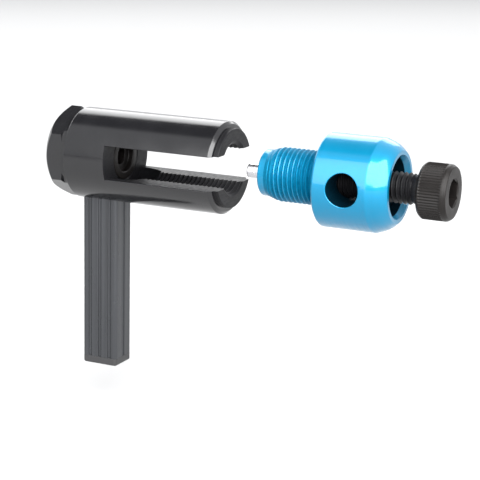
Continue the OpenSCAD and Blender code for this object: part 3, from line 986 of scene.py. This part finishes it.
class MakeHandle(bpy.types.Operator):
    """Make the grooved handle, its stud and its end cap"""
    bl_idname = "chain_tool.handle"
    bl_label = "Handle"

    def execute(self, context):
        sizes = context.scene.chain_handle
        lowest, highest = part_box("handle_bar")
        centre = (lowest + highest) / 2
        half_w, half_t = (highest.x - lowest.x) / 2, (highest.y - lowest.y) / 2
        section = handle_outline(sizes, half_w, half_t)

        def place(a, b, along):
            return centre.x + a, centre.y + b, along

        bar = extruded("handle_bar", section, lowest.z, -ANVIL_R, place)
        seat = rod("seat", 0, SLOT_BACK + PAST, BARREL_R)
        stud_lowest, stud_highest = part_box("handle_stud")
        stud_hole = upright_rod("stud_hole", centre, stud_lowest.z, 0,
                                (stud_highest.x - stud_lowest.x) / 2)
        pin_hole = upright_rod("pin_hole", centre, lowest.z - PAST, high("spare_push_pin").z,
                               high("end_cap_o_ring").y + 0.01 * MM)
        cut(bar, seat, stud_hole, pin_hole)
        dress(bar, "grey_anodised", "body", "handle_bar")
        stud = upright_rod("handle_stud", centre, stud_lowest.z, stud_highest.z,
                           (stud_highest.x - stud_lowest.x) / 2)
        dress(stud, "bright_steel", "body", "handle_stud")
        make_end_cap(sizes, centre, half_w, half_t, lowest.z)
        return {"FINISHED"}


def upright(name, centre, outline, sides=64):
    """A turned piece about the handle's axis, from an outline of (radius, z)."""
    piece = turned(name, outline, sides)
    stand = Matrix(((0, 1, 0, centre.x), (0, 0, 1, centre.y), (1, 0, 0, 0), (0, 0, 0, 1)))
    piece.data.transform(stand)
    return piece


def upright_rod(name, centre, z0, z1, radius):
    """A plain round bar about the handle's axis."""
    return upright(name, centre, [(0, z0), (radius, z0), (radius, z1), (0, z1)])


def make_end_cap(sizes, centre, half_w, half_t, seam):
    """The plug in the handle's foot, with its O-ring and the spare pin."""
    cap_high = high("handle_end_cap")
    ring_low, ring_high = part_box("end_cap_o_ring")
    pin_low, pin_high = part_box("spare_push_pin")
    cap = cap_foot(sizes, centre, half_w, half_t, seam)
    groove_r = ring_high.y - 0.35 * MM
    stem_r, floor_r = groove_r + 0.25 * MM, groove_r - 0.05 * MM
    middle = (ring_low.z + ring_high.z) / 2
    stem_start, groove_half, floor_half = seam - 0.3 * MM, 0.45 * MM, 0.4 * MM
    stem = upright("stem", centre, rounded([
        (0, stem_start), (stem_r, stem_start), (stem_r, middle - groove_half),
        (floor_r, middle - floor_half), (floor_r, middle + floor_half),
        (stem_r, middle + groove_half), (stem_r, cap_high.z, 0.2 * MM), (0, cap_high.z)]))
    joined(cap, stem)
    pin_r = (pin_high.x - pin_low.x) / 2
    cut(cap, upright_rod("socket", centre, pin_low.z, cap_high.z + PAST, pin_r))
    dress(cap, "black_plastic", "end_cap", "handle_end_cap")
    wire = 0.38 * MM
    ring = upright("end_cap_o_ring", centre, wire_section(groove_r, middle, wire * 0.8, wire))
    dress(ring, "black_rubber", "end_cap", "end_cap_o_ring")
    pin = upright("spare_push_pin", centre, rounded([
        (0, pin_low.z), (pin_r, pin_low.z), (pin_r, pin_high.z, 0.35 * MM), (0, pin_high.z)]))
    dress(pin, "bright_steel", "end_cap", "spare_push_pin")


def cap_foot(sizes, centre, half_w, half_t, seam):
    """The part of the end cap below the handle: its section, rounded towards the bottom."""
    lowest, corner = low("handle_end_cap").z, sizes.corner_r
    edge, step, most_inset = 0.5 * MM, 0.1 * MM, corner * 0.98
    levels = [(edge - edge * math.cos(a), lowest + edge - edge * math.sin(a))
              for a in (TURN / 4 * (1 - k / 5) for k in range(6))]
    levels += [(0.0, seam - step), (step, seam)]
    shape = bmesh.new()
    rings = [[shape.verts.new((centre.x + x, centre.y + y, z))
              for cx, cy, first in handle_corners(half_w, half_t, corner)
              for x, y in round_corner(cx, cy, corner - min(inset, most_inset), first)]
             for inset, z in levels]
    for ring, following in zip(rings, rings[1:]):
        for i in range(len(ring)):
            j = (i + 1) % len(ring)
            shape.faces.new((ring[i], ring[j], following[j], following[i]))
    shape.faces.new(rings[0])
    shape.faces.new(rings[-1])
    return new_object("handle_end_cap", close_mesh(shape, "handle_end_cap"))


class MakeSmallParts(bpy.types.Operator):
    """Make the insert, bush, rings, washer, ball and push pin"""
    bl_idname = "chain_tool.small_parts"
    bl_label = "Small parts"

    def execute(self, context):
        knob, thread = context.scene.chain_knob, context.scene.chain_thread
        make_thread_insert(knob, thread)
        wire_ring("bush_snap_ring", "bright_steel", "knob")
        make_thrust_bush()
        make_push_pin()
        make_thrust_ball()
        flat_ring("pin_retaining_ring", PIN_R + PIN_GAP, "screw")
        flat_ring("screw_washer", knob.bore_r, "knob")
        return {"FINISHED"}


def make_thread_insert(knob, thread):
    """The steel thread in the knob for the drive screw."""
    lowest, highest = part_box("thread_insert")
    insert = turned("thread_insert", rounded([
        (0, lowest.x), (knob.pocket_r, lowest.x, 0.2 * MM), (knob.pocket_r, highest.x, 0.2 * MM),
        (0, highest.x)]))
    bore = threaded_rod("bore", thread, lowest.x - PAST, highest.x + PAST,
                        thread.screw_minor_r + thread.play, thread.screw_major_r + thread.play,
                        thread.screw_minor_r)
    cut(insert, bore)
    dress(insert, "bright_steel", "knob", "thread_insert")


def make_thrust_bush():
    """The stepped bush in the shank's tip."""
    lowest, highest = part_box("thrust_bush")
    hole, lip_r = PIN_R + PIN_GAP, highest.y - 0.55 * MM
    step = (lowest.x + highest.x) / 2
    bush = turned("thrust_bush", rounded([
        (hole, lowest.x, 0.12 * MM), (lip_r, lowest.x, 0.15 * MM), (lip_r, step),
        (highest.y, step), (highest.y, highest.x, 0.1 * MM), (hole, highest.x)], 4))
    dress(bush, "bronze", "bush", "thrust_bush")


def make_push_pin():
    """The push pin, with the head that its ring holds back."""
    lowest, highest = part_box("push_pin")
    head_x = high("pin_retaining_ring").x + 0.1 * MM
    pin = turned("push_pin", rounded([
        (0, lowest.x), (PIN_R, lowest.x, 0.3 * MM), (PIN_R, head_x),
        (highest.y, head_x, 0.15 * MM), (highest.y, highest.x, 0.2 * MM), (0, highest.x)], 4), 64)
    dress(pin, "bright_steel", "pin", "push_pin")


def make_thrust_ball():
    """The ball between the push pin and the drive screw."""
    lowest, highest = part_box("thrust_ball")
    radius, middle = (highest.x - lowest.x) / 2, (highest.x + lowest.x) / 2
    ball = turned("thrust_ball", [
        (radius * math.sin(TURN / 2 * k / 32), middle - radius * math.cos(TURN / 2 * k / 32))
        for k in range(33)], 64)
    dress(ball, "bright_steel", "screw", "thrust_ball")


def flat_ring(name, inner, body):
    """A flat steel ring with broken edges."""
    lowest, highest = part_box(name)
    x0, x1, outer = lowest.x, highest.x, highest.y
    edge = (x1 - x0) * 0.2
    ring = turned(name, rounded([(inner, x0, edge), (outer, x0, edge), (outer, x1, edge),
                                 (inner, x1, edge)], 3))
    dress(ring, "black_oxide_steel", body, name)


def wire_section(radius, middle, half_width, half_height):
    """The oval section of a wire ring, as (radius, place along the axis)."""
    angles = [TURN * k / 16 for k in range(16)]
    return [(radius + half_width * math.cos(angle), middle + half_height * math.sin(angle))
            for angle in angles]


def wire_ring(name, slot, body):
    """A ring of round wire about the tool axis."""
    lowest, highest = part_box(name)
    wire = (highest.x - lowest.x) / 2
    middle, radius = (highest.x + lowest.x) / 2, highest.y - wire
    dress(turned(name, wire_section(radius, middle, wire, wire)), slot, body, name)


class MakeStage(bpy.types.Operator):
    """Make the floor, the lights and the camera"""
    bl_idname = "chain_tool.stage"
    bl_label = "Stage"

    def execute(self, context):
        make_floor(context.scene.chain_finish.floor)
        make_lights(context.scene)
        make_camera(context.scene)
        return {"FINISHED"}


def make_floor(base):
    """A wide pale floor, clear of the tool, which is held and doesn't stand on it."""
    shape = bmesh.new()
    bmesh.ops.create_grid(shape, x_segments=1, y_segments=1, size=6.0)
    mesh = bpy.data.meshes.new("floor")
    shape.to_mesh(mesh)
    shape.free()
    mesh.transform(Matrix.Translation((0, 0, FLOOR_Z)))
    floor = new_object("floor", mesh)
    paint = Paint("floor", Base_Color=(*base, 1.0), Roughness=0.9, Specular_IOR_Level=0.1)
    mesh.materials.append(paint.material)


OPENING = (-122.0, 62.0)     # azimuth and elevation of the opening's middle
OPENING_EDGE = (0.89, 0.96)  # cosines of its outer and inner edge
ROOM = (1.2, 0.1)            # brightness of the walls and of the opening
LIGHTS = [
    # name, azimuth, elevation, distance, width, height, brightness
    ("back_box", -144.0, 32.0, 1.2, 1.9, 0.62, 3.5),
    ("front_box", -5.0, 30.0, 1.0, 0.76, 1.2, 4.4),
    ("right_box", 50.0, 34.0, 1.0, 1.15, 1.1, 10.0),
]


def make_lights(scene):
    """Soft boxes round the tool, in a bright room."""
    aim = (CAD_LOW + CAD_HIGH) / 2
    for name, azimuth, elevation, distance, width, tall, brightness in LIGHTS:
        data = bpy.data.lights.new(name, "AREA")
        data.shape, data.size, data.size_y = "RECTANGLE", width, tall
        data.energy = brightness * math.pi * width * tall
        lamp = bpy.data.objects.new(name, data)
        scene.collection.objects.link(lamp)
        back = direction(azimuth, elevation)
        lamp.location = aim + back * distance
        lamp.rotation_euler = back.to_track_quat("Z", "Y").to_euler()
    make_room(scene)
    scene.view_settings.view_transform = "Standard"


def make_room(scene):
    """A bright, even room with one dark opening high up behind the tool."""
    world = bpy.data.worlds.new("studio")
    scene.world = world
    world.use_nodes = True
    nodes, links = world.node_tree.nodes, world.node_tree.links
    place = nodes.new("ShaderNodeTexCoord")
    near = nodes.new("ShaderNodeVectorMath")
    near.operation = "DOT_PRODUCT"
    near.inputs[1].default_value = direction(*OPENING)
    ramp = nodes.new("ShaderNodeMapRange")
    for value, socket in zip((*OPENING_EDGE, *ROOM), ("From Min", "From Max", "To Min", "To Max")):
        ramp.inputs[socket].default_value = value
    ramp.interpolation_type = "SMOOTHSTEP"
    links.new(place.outputs["Generated"], near.inputs[0])
    links.new(near.outputs["Value"], ramp.inputs["Value"])
    background = nodes["Background"]
    links.new(ramp.outputs["Result"], background.inputs["Strength"])
    background.inputs["Color"].default_value = (0.97, 0.98, 1.0, 1.0)


def direction(azimuth, elevation):
    """The direction from the tool to a viewer. Azimuth 0 looks along +Y, and 90 along -X."""
    a, e = math.radians(azimuth), math.radians(elevation)
    return Vector((math.sin(a) * math.cos(e), -math.cos(a) * math.cos(e), math.sin(e)))


def make_camera(scene):
    """A long lens that looks at the tool from its front right, a little from above."""
    azimuth, elevation, roll, distance = 25.13, 13.71, 1.27, 0.419
    aim = Vector((51.93 * MM, 0.0, -18.5 * MM))
    data = bpy.data.cameras.new("camera")
    data.sensor_width, data.lens = 36.0, 122.3
    data.clip_start, data.clip_end = 0.01, 50.0
    camera = bpy.data.objects.new("camera", data)
    scene.collection.objects.link(camera)
    back = direction(azimuth, elevation)
    camera.location = aim + back * distance
    turn = back.to_track_quat("Z", "Y").to_matrix() @ Matrix.Rotation(math.radians(roll), 3, "Z")
    camera.rotation_euler = turn.to_euler()
    scene.camera = camera


class ChainToolPanel(bpy.types.Panel):
    """Lists the pieces of the chain tool"""
    bl_idname = "VIEW3D_PT_chain_tool"
    bl_label = "Chain Tool"
    bl_space_type = "VIEW_3D"
    bl_region_type = "UI"
    bl_category = "Chain Tool"

    def draw(self, context):
        for operator in OPERATORS:
            self.layout.operator(operator.bl_idname)
        for name, group in SETTINGS.items():
            box = self.layout.box()
            box.label(text=group.__name__)
            for key in group.__annotations__:
                box.prop(getattr(context.scene, name), key)


OPERATORS = [MakeFinishes, MakeBarrel, MakeAnvil, MakeRearPlug, MakeClampKnob, MakeDriveScrew,
             MakeHandle, MakeSmallParts, MakeStage]
CLASSES = [*SETTINGS.values(), *OPERATORS, ChainToolPanel]


def register():
    """Adds the classes and the settings to Blender."""
    for item in CLASSES:
        bpy.utils.register_class(item)
    for name, group in SETTINGS.items():
        setattr(bpy.types.Scene, name, PointerProperty(type=group))


def unregister():
    """Takes the classes and the settings out again."""
    for name in SETTINGS:
        delattr(bpy.types.Scene, name)
    for item in reversed(CLASSES):
        bpy.utils.unregister_class(item)


def main():
    """Makes every piece."""
    register()
    for operator in OPERATORS:
        group, name = operator.bl_idname.split(".")
        getattr(getattr(bpy.ops, group), name)()


if __name__ == "__main__":
    main()
